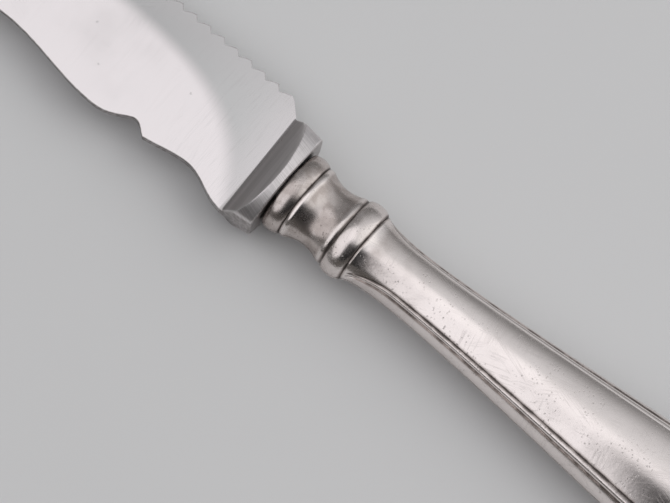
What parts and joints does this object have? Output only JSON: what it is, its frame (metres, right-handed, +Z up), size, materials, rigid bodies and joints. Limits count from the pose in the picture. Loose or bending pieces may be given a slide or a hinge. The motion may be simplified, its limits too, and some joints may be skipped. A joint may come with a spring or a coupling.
{
  "type": "tomato knife",
  "caption": "Tomato knife lying on its side: saw-toothed steel blade with a forked tip and a dished bolster, in a hollow silver handle with a turned collar and thread borders.",
  "frame": {"origin": "Under the middle of the knife's box, on the surface that it lies on.", "axes": "+X runs along the knife from the tip to the butt, +Y points to the toothed edge, and +Z is up through the flat of the blade."},
  "size_m": [0.2058, 0.0224, 0.0108],
  "materials": {
    "blade_steel": "fine cross-brushed stainless steel",
    "handle_silver": "polished silver with fine scratches and warm tarnish in the grooves",
    "seam_solder": "silver solder filed flush",
    "filling_cement": "dull resin cement, out of sight"
  },
  "bodies": {
    "root": {"blade": "blade_steel", "handle_front_shell": "handle_silver", "handle_back_shell": "handle_silver", "handle_seam_solder": "seam_solder", "handle_cement": "filling_cement"}
  },
  "joints": []
}
